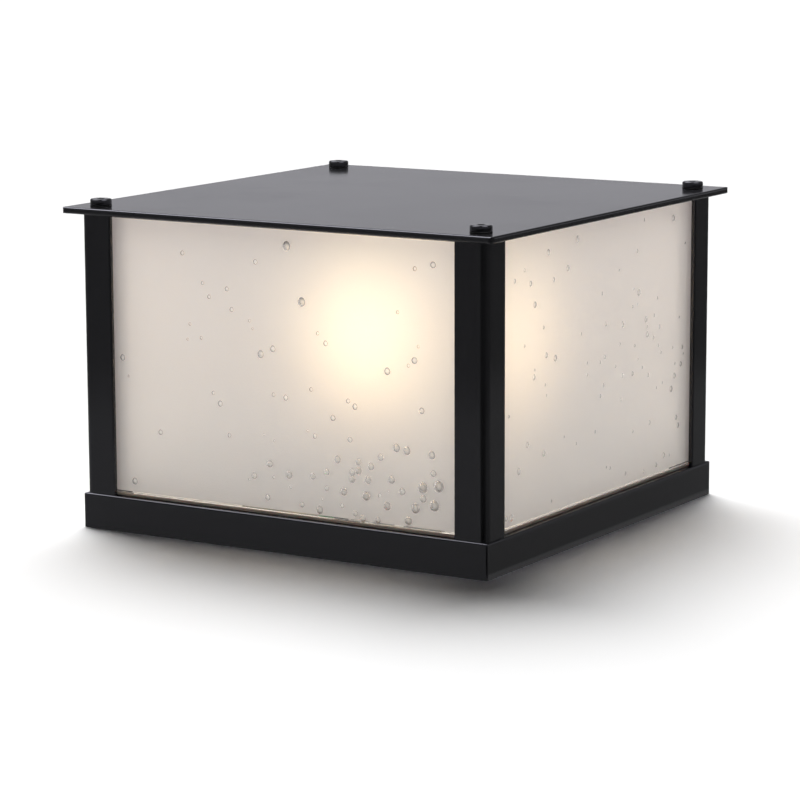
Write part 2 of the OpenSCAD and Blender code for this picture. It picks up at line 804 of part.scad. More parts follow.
lamp_tip();
lamp_module();
wire_grommet();
terminal_block();
terminal_screws();
block_screws();
live_lead();
neutral_lead();
earth_lead();
earth_tag();
earth_screw();
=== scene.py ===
# %% [markdown]
# # Deck post cap light
# This lamp sits on top of a deck post. A black tray slips over the post, four corner posts
# hold panes of seeded glass, and a thin square roof is screwed down over them. A small
# frosted lamp glows behind the glass. The construction model is loaded first and never
# changed: it fixes every size and place. The lesson then adds the light, the finishes and the
# pieces that need soft or winding shapes, such as bubbles, screw threads and rubber lips.

# %% Load the construction model
import contextlib
import json
import math
import random

import bmesh
import bpy
from mathutils import Matrix, Vector


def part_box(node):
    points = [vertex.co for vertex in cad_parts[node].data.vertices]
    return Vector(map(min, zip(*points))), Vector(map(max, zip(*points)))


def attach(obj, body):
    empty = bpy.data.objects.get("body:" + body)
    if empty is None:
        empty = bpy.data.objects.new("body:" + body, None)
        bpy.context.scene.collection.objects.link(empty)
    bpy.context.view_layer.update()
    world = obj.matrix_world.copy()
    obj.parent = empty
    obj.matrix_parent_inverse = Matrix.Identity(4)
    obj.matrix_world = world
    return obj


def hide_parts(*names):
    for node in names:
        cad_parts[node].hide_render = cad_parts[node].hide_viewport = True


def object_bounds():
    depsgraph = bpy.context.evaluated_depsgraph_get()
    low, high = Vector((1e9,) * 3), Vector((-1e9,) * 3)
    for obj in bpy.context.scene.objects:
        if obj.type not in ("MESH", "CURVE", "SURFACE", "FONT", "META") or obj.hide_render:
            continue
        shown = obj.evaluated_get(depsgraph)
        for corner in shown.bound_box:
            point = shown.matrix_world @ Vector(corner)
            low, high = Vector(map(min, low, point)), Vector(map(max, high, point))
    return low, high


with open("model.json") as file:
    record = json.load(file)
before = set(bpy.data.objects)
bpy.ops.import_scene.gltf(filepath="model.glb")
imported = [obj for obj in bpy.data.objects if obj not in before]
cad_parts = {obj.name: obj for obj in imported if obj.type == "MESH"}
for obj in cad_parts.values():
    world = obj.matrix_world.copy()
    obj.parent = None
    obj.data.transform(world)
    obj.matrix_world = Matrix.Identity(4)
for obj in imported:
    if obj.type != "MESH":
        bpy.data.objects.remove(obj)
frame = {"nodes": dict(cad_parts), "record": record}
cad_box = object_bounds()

MM = 0.001

# %% [markdown]
# ## The camera
# The view comes before anything is modelled, so that each new piece can be compared with the
# photograph at once. The camera stands well back with a long lens, a little above the lamp and
# to its right, and turns by a fraction of a degree about its own axis. Its four columns are
# worked out from the azimuth and elevation, which is easier to correct than three raw angles.

# %% The camera
AZIMUTH = math.radians(31.65)
ELEVATION = math.radians(10.0)
ROLL = math.radians(-0.20)
CAMERA_DISTANCE = 1.104
AIM_ASIDE = -1.39 * MM
AIM_HEIGHT = 39.2 * MM
PHOTO_WIDTH = 800
FOCAL_LENGTH_IN_PIXELS = 3153

scene = bpy.context.scene
camera_data = bpy.data.cameras.new("photo_camera")
camera_data.lens = FOCAL_LENGTH_IN_PIXELS * camera_data.sensor_width / PHOTO_WIDTH
camera = bpy.data.objects.new("photo_camera", camera_data)
scene.collection.objects.link(camera)
scene.camera = camera

rightwards = Vector((math.cos(AZIMUTH), math.sin(AZIMUTH), 0))
towards_camera = Vector((
    math.sin(AZIMUTH) * math.cos(ELEVATION),
    -math.cos(AZIMUTH) * math.cos(ELEVATION),
    math.sin(ELEVATION),
))
aim = Vector((0, 0, AIM_HEIGHT)) + AIM_ASIDE * rightwards
upwards = towards_camera.cross(rightwards)
turned = Matrix.Rotation(ROLL, 3, towards_camera)
camera.matrix_world = Matrix.Translation(aim + CAMERA_DISTANCE * towards_camera) @ Matrix(
    (turned @ rightwards, turned @ upwards, towards_camera)
).transposed().to_4x4()
print("lens:", round(camera_data.lens, 2), "mm")

# %% [markdown]
# ## Working by hand
# The pieces below are made with the same operators that the menus offer. An operator acts on
# everything that is selected, so each step first selects one piece, and inside edit mode picks
# faces or edges by where they are. These few helpers keep the steps short.

# %% Helpers for selecting and editing
@contextlib.contextmanager
def edit_mode(piece):
    """Opens one piece in edit mode and closes it again."""
    alone(piece)
    bpy.ops.object.mode_set(mode="EDIT")
    yield
    bpy.ops.object.mode_set(mode="OBJECT")


def alone(piece):
    """Leaves only this piece selected and active."""
    bpy.ops.object.select_all(action="DESELECT")
    piece.select_set(True)
    bpy.context.view_layer.objects.active = piece


def pick(piece, kind, test):
    """Selects the faces, edges or vertices of an open piece that pass a test."""
    bpy.ops.mesh.select_mode(type=kind)
    bpy.ops.mesh.select_all(action="DESELECT")
    shape = bmesh.from_edit_mesh(piece.data)
    for part in {"FACE": shape.faces, "EDGE": shape.edges, "VERT": shape.verts}[kind]:
        if test(part):
            part.select_set(True)
    shape.select_flush_mode()
    bmesh.update_edit_mesh(piece.data)


def settle(piece):
    """Moves a piece's place into its mesh, so that its object sits at the origin."""
    alone(piece)
    bpy.ops.object.transform_apply(location=True, rotation=True, scale=True)


def named(name):
    """Names the object that the last operator made."""
    piece = bpy.context.object
    piece.name = name
    piece.data.name = name
    return piece


# %% Helpers for solids
WELD = 0.002 * MM
ROUNDED = math.radians(35)
FACING = 0.99


def weld():
    """Merges the points of an open piece that lie together and turns its faces outwards."""
    bpy.ops.mesh.select_all(action="SELECT")
    bpy.ops.mesh.remove_doubles(threshold=WELD)
    bpy.ops.mesh.normals_make_consistent(inside=False)


def box_between(name, low, high):
    """A cube stretched between two corners."""
    bpy.ops.object.select_all(action="DESELECT")
    bpy.ops.mesh.primitive_cube_add(size=1, location=(low + high) / 2)
    piece = named(name)
    piece.scale = high - low
    settle(piece)
    return piece


def drawn_line(name, points):
    """A line drawn by extruding one vertex from point to point."""
    bpy.ops.object.select_all(action="DESELECT")
    bpy.ops.mesh.primitive_plane_add(size=MM, location=points[0])
    piece = named(name)
    settle(piece)
    with edit_mode(piece):
        bpy.ops.mesh.select_mode(type="VERT")
        bpy.ops.mesh.select_all(action="SELECT")
        bpy.ops.mesh.merge(type="CENTER")
        for start, end in zip(points, points[1:]):
            step = Vector(end) - Vector(start)
            bpy.ops.mesh.extrude_vertices_move(TRANSFORM_OT_translate={"value": step})
    return piece


def lathe(name, section, sides, axis=(0, 0)):
    """Half a section, given as radius and height, is drawn beside an axis and spun round it."""
    points = [(axis[0] + radius, axis[1], height) for radius, height in section]
    piece = drawn_line(name, points)
    with edit_mode(piece):
        bpy.ops.mesh.select_all(action="SELECT")
        bpy.ops.mesh.spin(
            steps=sides, angle=math.tau, center=(axis[0], axis[1], 0), axis=(0, 0, 1)
        )
        weld()
    return piece


def soften(piece, width, segments, sharpest=30):
    """Bevels every edge that is sharper than an angle, then shades the piece smooth."""
    with edit_mode(piece):
        bpy.ops.mesh.select_mode(type="EDGE")
        bpy.ops.mesh.select_all(action="DESELECT")
        bpy.ops.mesh.edges_select_sharp(sharpness=math.radians(sharpest))
        bpy.ops.mesh.bevel(offset=width, segments=segments, affect="EDGES")
    bpy.ops.object.shade_smooth_by_angle(angle=ROUNDED)


def copy_of(piece, name, turn=0.0, shift=(0, 0, 0)):
    """A copy with its own mesh, turned about the lamp's axis and then moved."""
    twin = piece.copy()
    twin.data = piece.data.copy()
    twin.name = name
    twin.data.name = name
    scene.collection.objects.link(twin)
    twin.rotation_euler.z = turn
    twin.location = shift
    settle(twin)
    return twin


def joined(name, pieces):
    """Several pieces made one object."""
    alone(pieces[0])
    for piece in pieces:
        piece.select_set(True)
    bpy.ops.object.join()
    return named(name)


def measure(piece):
    """Prints a piece's size and whether its surface is closed."""
    shape = bmesh.new()
    shape.from_mesh(piece.data)
    open_edges = sum(not edge.is_manifold for edge in shape.edges)
    volume = shape.calc_volume(signed=True) / MM**3
    shape.free()
    size = [round(side / MM, 2) for side in piece.dimensions]
    print(f"{piece.name}: {size} mm, {volume:.1f} mm3, {open_edges} open edges")


def mount(piece, finish_slot, body, *nodes):
    """Hangs a piece on what carries it, hides the CAD nodes it stands for and prints its size. The
    finish slot is not used.
    """
    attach(piece, body)
    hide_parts(*nodes)
    measure(piece)


# %% [markdown]
# ## The three leads inside
# Behind the left pane a live and a neutral lead run from the lamp holder to the terminal
# block, and an earth lead makes a loop from the tray's earth screw to the same block. A real
# lead bends in smooth curves of its own stiffness. A curve object with a round bevel does that
# best: its points are the route that the construction model uses, eased into one smooth line,
# and the result is made a mesh with closed ends.

# %% The three leads
LEAD_RADIUS = 1.1 * MM
LEAD_STEPS = 8
LEAD_BEVEL_STEPS = 3
TUBULAR = math.radians(50)
EXIT_ANGLE = math.radians(35)
SUPPLY_ROUTE = (
    (-10 * math.cos(EXIT_ANGLE), 10 * math.sin(EXIT_ANGLE), 22),
    (-15 * math.cos(EXIT_ANGLE), 15 * math.sin(EXIT_ANGLE), 22),
    (-20, 13, 21), (-28, 14, 19), (-35, 12, 17.6), (-40, 10, 17.2), (-47.5, 10, 17.2),
)
EARTH_ROUTE = (
    (-57, 30, 13.7), (-59.5, 30, 13.7), (-61, 30, 13.7), (-66, 28, 14.5), (-69, 22, 15.5),
    (-69.5, 12, 16.5), (-68, 4, 17), (-64, 0.5, 17.2), (-60, 0, 17.2), (-52.5, 0, 17.2),
)


def eased(route):
    """Points on the smooth curve that passes through every point of a route."""
    points = [Vector(point) * MM for point in route]
    line = []
    for i in range(len(points) - 1):
        a, b = points[max(0, i - 1)], points[i]
        c, d = points[i + 1], points[min(len(points) - 1, i + 2)]
        for k in range(LEAD_STEPS):
            t = k / LEAD_STEPS
            line.append(0.5 * (
                2 * b + (c - a) * t + (2 * a - 5 * b + 4 * c - d) * t**2
                + (3 * b - a - 3 * c + d) * t**3
            ))
    return line + [points[-1]]


def lead(name, route):
    """A round lead along a route."""
    points = eased(route)
    line = bpy.data.curves.new(name, "CURVE")
    line.dimensions = "3D"
    line.bevel_depth = LEAD_RADIUS
    line.bevel_resolution = LEAD_BEVEL_STEPS
    line.use_fill_caps = True
    spline = line.splines.new("POLY")
    spline.points.add(len(points) - 1)
    for spot, point in zip(spline.points, points):
        spot.co = (*point, 1)
    piece = bpy.data.objects.new(name, line)
    scene.collection.objects.link(piece)
    alone(piece)
    bpy.ops.object.convert(target="MESH")
    piece = named(name)
    with edit_mode(piece):
        weld()
    bpy.ops.object.shade_smooth_by_angle(angle=TUBULAR)
    length = sum((b - a).length for a, b in zip(points, points[1:]))
    print(f"{name}: {length / MM:.1f} mm long")
    return piece


live_lead = lead("live_wire", [(x, -y, z) for x, y, z in SUPPLY_ROUTE])
neutral_lead = lead("neutral_wire", SUPPLY_ROUTE)
earth_lead = lead("earth_wire", EARTH_ROUTE)
mount(live_lead, "brown_wire", "root", "live_lead")
mount(neutral_lead, "blue_wire", "root", "neutral_lead")
mount(earth_lead, "green_wire", "root", "earth_lead")

# %% [markdown]
# ## Node trees
# The light, the floor and all finishes are small trees of nodes. A tree reads best when each
# node is written together with what feeds it, so these helpers take either a constant or the
# output of an earlier node for any input.

# %% Helpers for node trees
WHITE = (1, 1, 1, 1)
# The sockets of a mix node share their names, so its colour sockets go by number.
SHARE, FIRST, SECOND, BLEND = 0, 6, 7, 2


def link(tree, from_socket, to_socket):
    """Joins two sockets of a node tree."""
    tree.links.new(from_socket, to_socket)


def node(tree, kind, inputs=None, **settings):
    """Adds a node. Each input is given a constant or the output that feeds it."""
    made = tree.nodes.new(kind)
    for option, value in settings.items():
        setattr(made, option, value)
    for socket, value in (inputs or {}).items():
        if isinstance(value, bpy.types.NodeSocket):
            link(tree, value, made.inputs[socket])
        else:
            made.inputs[socket].default_value = value
    return made


def reckoned(tree, operation, *parts, **settings):
    """The result of arithmetic on numbers."""
    return node(
        tree, "ShaderNodeMath", dict(enumerate(parts)), operation=operation, **settings
    ).outputs["Value"]


def ramp(tree, value, ends, gives):
    """Follows a value between two ends and gives a number between two others."""
    return node(tree, "ShaderNodeMapRange", {
        "Value": value, "From Min": ends[0], "From Max": ends[1],
        "To Min": gives[0], "To Max": gives[1],
    }).outputs["Result"]


def blended(tree, share, first, second, target):
    """Mixes two colours by a share."""
    mix = node(
        tree, "ShaderNodeMix", {SHARE: share, FIRST: first, SECOND: second}, data_type="RGBA"
    )
    link(tree, mix.outputs[BLEND], target)


def object_place(tree):
    """Where a point is on its own object."""
    return node(tree, "ShaderNodeTexCoord").outputs["Object"]


def part_of(tree, vector, axis):
    """One of a vector's three numbers."""
    return node(tree, "ShaderNodeSeparateXYZ", {"Vector": vector}).outputs[axis]


# %% [markdown]
# ## Floor and studio light
# The lamp stands on a white sweep in soft light. One wide sun from behind and above throws the
# pale shadow towards the viewer, and a dim even sky fills it. The background must stay white
# without pouring more light on the lamp, so the world is plain white only for rays that come
# straight from the camera or through glass. Gloss black paint has almost no colour of its own
# and shows what it mirrors, as in a photographer's studio: a grey wall at the horizon, which
# the flat roof shows, darkness above it, and a softbox high on each side, which draws the pale
# line along the rounded edges of the roof and the tray.

# %% The world
SKY_FILL = 0.02
MIRRORED_TONE = (0.94, 0.935, 1.0, 1)
WALL_IN_GLOSS, DARK_IN_GLOSS, SOFTBOX_IN_GLOSS = 0.51, 0.12, 6.5
WALL_TOP = [math.sin(math.radians(angle)) for angle in (15, 24)]
SOFTBOX_ELEVATION = math.radians(59)
SOFTBOX_RIM = [math.cos(math.radians(angle)) for angle in (26, 18)]

world = bpy.data.worlds.new("white_studio")
world.use_nodes = True
world.cycles.sampling_method = "NONE"
scene.world = world
sky = world.node_tree
background = sky.nodes["Background"].inputs
rays = node(sky, "ShaderNodeLightPath").outputs
seen = reckoned(sky, "MAXIMUM", rays["Is Camera Ray"], rays["Is Transmission Ray"])
direction = node(sky, "ShaderNodeTexCoord").outputs["Generated"]
wall = ramp(sky, part_of(sky, direction, "Z"), WALL_TOP, (WALL_IN_GLOSS, DARK_IN_GLOSS))
both_sides = node(sky, "ShaderNodeVectorMath", {0: direction}, operation="ABSOLUTE")
near_softbox = node(sky, "ShaderNodeVectorMath", {
    0: both_sides.outputs["Vector"],
    1: (math.cos(SOFTBOX_ELEVATION), 0, math.sin(SOFTBOX_ELEVATION)),
}, operation="DOT_PRODUCT").outputs["Value"]
softbox = ramp(sky, near_softbox, SOFTBOX_RIM, (0, SOFTBOX_IN_GLOSS))
unseen = ramp(
    sky, rays["Is Glossy Ray"], (0, 1), (SKY_FILL, reckoned(sky, "ADD", wall, softbox))
)
link(sky, ramp(sky, seen, (0, 1), (unseen, 1)), background["Strength"])
blended(sky, seen, MIRRORED_TONE, WHITE, background["Color"])
print("world:", len(sky.nodes), "nodes")

# %% The sun
SUN_ELEVATION = math.radians(57)
SUN_ASIDE = math.radians(10)
SUN_STRENGTH = 4.05
SUN_WIDTH = math.radians(42)

sun_data = bpy.data.lights.new("wide_sun", "SUN")
sun_data.energy = SUN_STRENGTH
sun_data.angle = SUN_WIDTH
sun = bpy.data.objects.new("wide_sun", sun_data)
sun.visible_glossy = False
scene.collection.objects.link(sun)
to_sun = Vector((
    -math.sin(AZIMUTH + SUN_ASIDE) * math.cos(SUN_ELEVATION),
    math.cos(AZIMUTH + SUN_ASIDE) * math.cos(SUN_ELEVATION),
    math.sin(SUN_ELEVATION),
))
sun.rotation_euler = to_sun.to_track_quat("Z", "Y").to_euler()
print("towards the sun:", [round(part, 2) for part in to_sun])

# %% [markdown]
# The floor is white paper to the camera and through glass. In the paint's reflections it is a
# painted grey that gets darker further away, so the posts are palest at their foot. Before the
# near corner a darker wedge is painted into that grey, a painted reflection of a dark flag that
# stands nowhere in the scene, and it gives the dark band along that corner's round. Angles on
# the floor are taken round that corner, from straight ahead of the front pane towards the right.

# %% The floor
FLOOR_SIZE = 10
UNDER_BASE = -0.1 * MM
FLOOR_WHITE = 0.95
# The floor's grey in gloss and the dark wedge in it are a painted reflection.
FLOOR_FADE = (0.32, 0.42)
FLOOR_IN_GLOSS = (0.38, 0.19)
PAINTED_FLAG_FROM = Vector((cad_box[1].x, cad_box[0].y, 0))
PAINTED_FLAG_SOFT = math.radians(6)
PAINTED_FLAG_LEFT, PAINTED_FLAG_RIGHT = math.radians(-18), math.radians(62)
PAINTED_FLAG_SHADE, RIGHT_SHADE = 0.06, 0.50

bpy.ops.object.select_all(action="DESELECT")
bpy.ops.mesh.primitive_plane_add(size=FLOOR_SIZE, location=(0, 0, UNDER_BASE))
floor = named("floor")
settle(floor)
white_paper = bpy.data.materials.new("white_paper")
white_paper.use_nodes = True
floor.data.materials.append(white_paper)
paper = white_paper.node_tree
paper_shader = paper.nodes["Principled BSDF"].inputs
paper_shader["Roughness"].default_value = 1
paper_shader["Specular IOR Level"].default_value = 0
paper_shader["Emission Color"].default_value = WHITE

rays = node(paper, "ShaderNodeLightPath").outputs
through_glass = rays["Is Transmission Ray"]
mirrored = reckoned(paper, "SUBTRACT", rays["Is Glossy Ray"], through_glass, use_clamp=True)
place = object_place(paper)
away = node(paper, "ShaderNodeVectorMath", {0: place}, operation="LENGTH").outputs["Value"]
fade = ramp(paper, away, FLOOR_FADE, FLOOR_IN_GLOSS)
from_corner = node(
    paper, "ShaderNodeVectorMath", {0: place, 1: PAINTED_FLAG_FROM}, operation="SUBTRACT"
).outputs["Vector"]
ahead = reckoned(paper, "MULTIPLY", part_of(paper, from_corner, "Y"), -1)
bearing = reckoned(paper, "ARCTAN2", part_of(paper, from_corner, "X"), ahead)
into_painted_flag = ramp(
    paper, bearing, (PAINTED_FLAG_LEFT - PAINTED_FLAG_SOFT, PAINTED_FLAG_LEFT + PAINTED_FLAG_SOFT), (1, PAINTED_FLAG_SHADE)
)
out_of_painted_flag = ramp(
    paper, bearing, (PAINTED_FLAG_RIGHT - PAINTED_FLAG_SOFT, PAINTED_FLAG_RIGHT + PAINTED_FLAG_SOFT),
    (0, RIGHT_SHADE - PAINTED_FLAG_SHADE),
)
# Painted reflection: what the paint mirrors of the floor, darker away from the lamp and in the wedge
# before the near corner.
grey = reckoned(paper, "MULTIPLY", fade, reckoned(paper, "ADD", into_painted_flag, out_of_painted_flag))
shine = reckoned(paper, "MULTIPLY_ADD", mirrored, grey, through_glass)
link(paper, shine, paper_shader["Emission Strength"])
unlit = reckoned(paper, "MAXIMUM", mirrored, through_glass)
link(paper, ramp(paper, unlit, (0, 1), (FLOOR_WHITE, 0)), paper_shader["Base Color"])
print("floor:", len(paper.nodes), "nodes")

# %% [markdown]
# ## Surface effects that many finishes share
# No real surface is one flat colour. Paint has a faint orange peel, cast rubber a fine tooth,
# plated steel the lines of its drawing, and everything that lies flat gathers a little dust.
# Each effect is a node group with its own inputs, built once and then placed in each finish
# with other numbers. A group gives out only colours and masks, so the shader itself stays in
# the material, where it is easy to read.

# %% Helpers for groups
def new_group(name, inputs, outputs):
    """A group with what comes in and goes out. An input is a name, its kind and its value."""
    group = bpy.data.node_groups.new(name, "ShaderNodeTree")
    for socket, (kind, value) in inputs.items():
        made = group.interface.new_socket(
            socket, in_out="INPUT", socket_type="NodeSocket" + kind
        )
        made.default_value = value
    for socket, kind in outputs.items():
        group.interface.new_socket(
            socket, in_out="OUTPUT", socket_type="NodeSocket" + kind
        )
    coming_in, going_out = (group.nodes.new("NodeGroup" + end) for end in ("Input", "Output"))
    return group, coming_in.outputs, going_out.inputs


def placed(tree, group, inputs):
    """Puts a group into a material with its own values, and gives what comes out of it."""
    return node(tree, "ShaderNodeGroup", inputs, node_tree=group).outputs


# %% Group: grain
# Fine even bumps, as of paint, rubber or a matt glaze.
GRAIN, grain_in, grain_out = new_group(
    "grain", {"Bumps per metre": ("Float", 600.0), "Fineness": ("Float", 2.0)}, {"Height": "Float"}
)
bumps = node(GRAIN, "ShaderNodeTexNoise", {
    "Vector": object_place(GRAIN), "Scale": grain_in["Bumps per metre"],
    "Detail": grain_in["Fineness"], "Roughness": 0.55,
})
link(GRAIN, bumps.outputs["Fac"], grain_out["Height"])

# %% Group: drift
# A slow change between two tones, with the same change as a mask for the shine.
DRIFT, drift_in, drift_out = new_group(
    "drift",
    {
        "Dark": ("Color", (0.1, 0.1, 0.1, 1)),
        "Light": ("Color", (0.2, 0.2, 0.2, 1)),
        "Patches per metre": ("Float", 40.0),
        "Least": ("Float", 0.2),
        "Most": ("Float", 0.4),
    },
    {"Colour": "Color", "Shine": "Float"},
)
patches = node(DRIFT, "ShaderNodeTexNoise", {
    "Vector": object_place(DRIFT), "Scale": drift_in["Patches per metre"],
    "Detail": 4.0, "Distortion": 0.3,
}).outputs["Fac"]
blended(DRIFT, patches, drift_in["Dark"], drift_in["Light"], drift_out["Colour"])
drift_shine = ramp(DRIFT, patches, (0.3, 0.7), (drift_in["Least"], drift_in["Most"]))
link(DRIFT, drift_shine, drift_out["Shine"])

# %% Group: dust
# A pale film where the surface looks up, thin enough to lift the colour only a little.
DUST_GREY = (0.42, 0.40, 0.37, 1)
DUST, dust_in, dust_out = new_group(
    "dust",
    {"Colour": ("Color", (0.0, 0.0, 0.0, 1)), "Amount": ("Float", 0.05)},
    {"Colour": "Color"},
)
specks = node(DUST, "ShaderNodeTexNoise", {
    "Vector": object_place(DUST), "Scale": 900.0, "Detail": 3.0, "Roughness": 0.7,
}).outputs["Fac"]
upward = part_of(DUST, node(DUST, "ShaderNodeNewGeometry").outputs["Normal"], "Z")
film = reckoned(
    DUST, "MULTIPLY", upward, ramp(DUST, specks, (0.5, 0.75), (0, 1)), use_clamp=True
)
cover = reckoned(DUST, "MULTIPLY", film, dust_in["Amount"], use_clamp=True)
blended(DUST, cover, dust_in["Colour"], DUST_GREY, dust_out["Colour"])

# %% Group: drawn lines
# The fine lines that rolling or turning leaves in metal, much longer one way than across.
LINES, lines_in, lines_out = new_group(
    "drawn_lines",
    {"Along": ("Vector", (40.0, 40.0, 2500.0)), "Contrast": ("Float", 0.5)},
    {"Height": "Float"},
)
stretched = node(
    LINES, "ShaderNodeVectorMath", {0: object_place(LINES), 1: lines_in["Along"]},
    operation="MULTIPLY",
).outputs["Vector"]
streaks = node(LINES, "ShaderNodeTexNoise", {"Vector": stretched, "Scale": 1.0, "Detail": 2.0})
streak_height = reckoned(LINES, "MULTIPLY", streaks.outputs["Fac"], lines_in["Contrast"])
link(LINES, streak_height, lines_out["Height"])

# %% Group: rise
# A colour that changes evenly with height, for a glow that is stronger higher up.
RISE, rise_in, rise_out = new_group(
    "rise",
    {
        "Low": ("Color", (0.1, 0.1, 0.1, 1)), "High": ("Color", (0.2, 0.2, 0.2, 1)),
        "From": ("Float", 0.0), "To": ("Float", 0.1),
    },
    {"Colour": "Color"},
)
climb = ramp(
    RISE, part_of(RISE, object_place(RISE), "Z"), (rise_in["From"], rise_in["To"]), (0, 1)
)
blended(RISE, climb, rise_in["Low"], rise_in["High"], rise_out["Colour"])
print("groups:", [group.name for group in bpy.data.node_groups])

# %% [markdown]
# ## Finishes
# Every finish starts the same way: a drift between two close tones gives the colour and the
# shine, and a fine grain gives the bump. Numbers that are the same all over, such as how
# metallic a surface is, stay on the shader's own sockets. The function takes one row of plain
# numbers for each finish, so that the row can be read like a paint card.

# %% The common part of a finish
def shader_inputs(material):
    """The sockets of a material's shader."""
    return material.node_tree.nodes["Principled BSDF"].inputs


def new_finish(name, dark, light, shine=None, patches=40, bumps=600, depth=0.02, **plain):
    """A finish from two tones, a least and a most roughness, and bumps of a depth in mm."""
    material = bpy.data.materials.new(name)
    material.use_nodes = True
    tree = material.node_tree
    shader = shader_inputs(material)
    for socket, value in plain.items():
        shader[socket.replace("_", " ")].default_value = value
    look = {"Dark": (*dark, 1), "Light": (*light, 1), "Patches per metre": patches}
    if shine:
        look["Least"], look["Most"] = shine
    drift = placed(tree, DRIFT, look)
    link(tree, drift["Colour"], shader["Base Color"])
    if shine:
        link(tree, drift["Shine"], shader["Roughness"])
    grain = placed(tree, GRAIN, {"Bumps per metre": bumps})
    bump = node(tree, "ShaderNodeBump", {"Height": grain["Height"], "Distance": depth * MM})
    link(tree, bump.outputs["Normal"], shader["Normal"])
    return material


def feeding(material, socket):
    """The socket that a shader's socket is fed from."""
    return shader_inputs(material)[socket].links[0].from_socket


def dusted(material, amount):
    """Lays dust over a finish."""
    tree = material.node_tree
    dust = placed(tree, DUST, {"Colour": feeding(material, "Base Color"), "Amount": amount})
    link(tree, dust["Colour"], shader_inputs(material)["Base Color"])
    return material


def lined(material, along, contrast):
    """Adds drawn lines to the grain of a metal finish."""
    tree = material.node_tree
    lines = placed(tree, LINES, {"Along": along, "Contrast": contrast})
    height = feeding(material, "Normal").node.inputs["Height"]
    link(tree, reckoned(tree, "ADD", height.links[0].from_socket, lines["Height"]), height)
    return material


# %% [markdown]
# ### Paint, rubber and plastics
# The frame is steel in gloss black powder coat. Its own colour is nearly nothing, and what
# shows is a clear coat-like mirror with a faint orange peel. Rubber and silicone are dull with
# a fine tooth. Porcelain and nylon are pale, one glazed and one silky.

# %% Paint, rubber and plastics
black_paint = dusted(new_finish(
    "gloss_black_paint", (0.008, 0.008, 0.009), (0.012, 0.012, 0.013), (0.08, 0.15),
    patches=25, bumps=420, depth=0.012, IOR=1.5, Specular_Tint=(0.92, 0.92, 1.0, 1),
), 0.03)
foam_rubber = dusted(new_finish(
    "black_rubber", (0.012, 0.012, 0.012), (0.03, 0.029, 0.028), (0.65, 0.85),
    patches=120, bumps=2200, depth=0.08, IOR=1.45,
), 0.12)
clear_silicone = new_finish(
    "clear_silicone", (0.42, 0.36, 0.30), (0.54, 0.47, 0.40), (0.35, 0.5),
    patches=90, bumps=900, depth=0.03, IOR=1.41, Subsurface_Weight=0.3, Subsurface_Scale=0.002,
)
porcelain = new_finish(
    "white_porcelain", (0.76, 0.75, 0.70), (0.84, 0.83, 0.79), (0.12, 0.22),
    patches=60, bumps=350, depth=0.02, IOR=1.5,
)
black_glaze = new_finish(
    "black_glass_insulator", (0.008, 0.008, 0.010), (0.02, 0.02, 0.022), (0.08, 0.18),
    patches=150, bumps=900, depth=0.02, IOR=1.52,
)
ivory_nylon = new_finish(
    "ivory_nylon", (0.66, 0.62, 0.52), (0.74, 0.71, 0.62), (0.38, 0.52),
    patches=80, bumps=1800, depth=0.025, IOR=1.53,
    Subsurface_Weight=0.15, Subsurface_Scale=0.002,
)
green_paint = new_finish(
    "green_dyed_zinc", (0.04, 0.22, 0.07), (0.08, 0.34, 0.12), (0.25, 0.4),
    patches=200, bumps=1500, depth=0.015, Metallic=0.8,
)
INSULATION = {"shine": (0.35, 0.5), "patches": 150, "bumps": 1200, "depth": 0.02, "IOR": 1.5}
brown_wire = new_finish("brown_insulation", (0.13, 0.055, 0.025), (0.19, 0.085, 0.04), **INSULATION)
blue_wire = new_finish("blue_insulation", (0.05, 0.14, 0.42), (0.08, 0.20, 0.52), **INSULATION)
green_wire = new_finish("green_insulation", (0.05, 0.24, 0.05), (0.08, 0.32, 0.07), **INSULATION)
yellow_wire = new_finish("yellow_insulation", (0.72, 0.58, 0.06), (0.80, 0.66, 0.10), **INSULATION)

# %% [markdown]
# ### Metals
# Zinc plate is a cool grey with cloudy patches, and brass is yellow and browns a little where
# it is handled. All keep the fine lines of the tool that shaped them. The lines run round
# turned pieces and along pressed ones.

# %% Metals
ROUND_THE_AXIS = (40, 40, 2600)
ALONG_THE_STRIP = (2600, 60, 60)
zinc_steel = dusted(lined(new_finish(
    "zinc_plate", (0.50, 0.51, 0.54), (0.66, 0.67, 0.69), (0.22, 0.38),
    patches=260, bumps=1400, depth=0.012, Metallic=1.0,
), ALONG_THE_STRIP, 0.6), 0.06)
brass = lined(new_finish(
    "plain_brass", (0.52, 0.36, 0.15), (0.78, 0.58, 0.28), (0.18, 0.34),
    patches=140, bumps=1200, depth=0.010, Metallic=1.0,
), ROUND_THE_AXIS, 0.6)
nickel = lined(new_finish(
    "nickelled_cap", (0.56, 0.54, 0.50), (0.70, 0.68, 0.64), (0.16, 0.30),
    patches=180, bumps=1500, depth=0.008, Metallic=1.0,
), ROUND_THE_AXIS, 0.5)

# %% [markdown]
# ### Glass
# The panes are smooth outside and frosted inside, with seeds, which are small bubbles, between
# the two faces. So a pane gets three finishes: a clear one for its outer face and its edges, a
# rough one for its inner face, and a clear one for the walls of the bubbles, with a painted shade
# that darkens them towards their rims. The lamp's own envelope is frosted white and glows warm, a
# little brighter at its top. Light paths alone leave the frosting too dim far from the lamp, so it
# has a faint painted glow of its own, which stands for the light that goes round inside the
# housing many times.

# %% Glass
GLASS_IOR = 1.5
GLASS_PATCHES = 30
STREAK = 0.985
CLEAR_TINT = (0.97, 0.98, 0.96)
CLEAR = {"roughness": 0.01, "clearness": 1.0, "bumps": 30, "depth": 0.10}


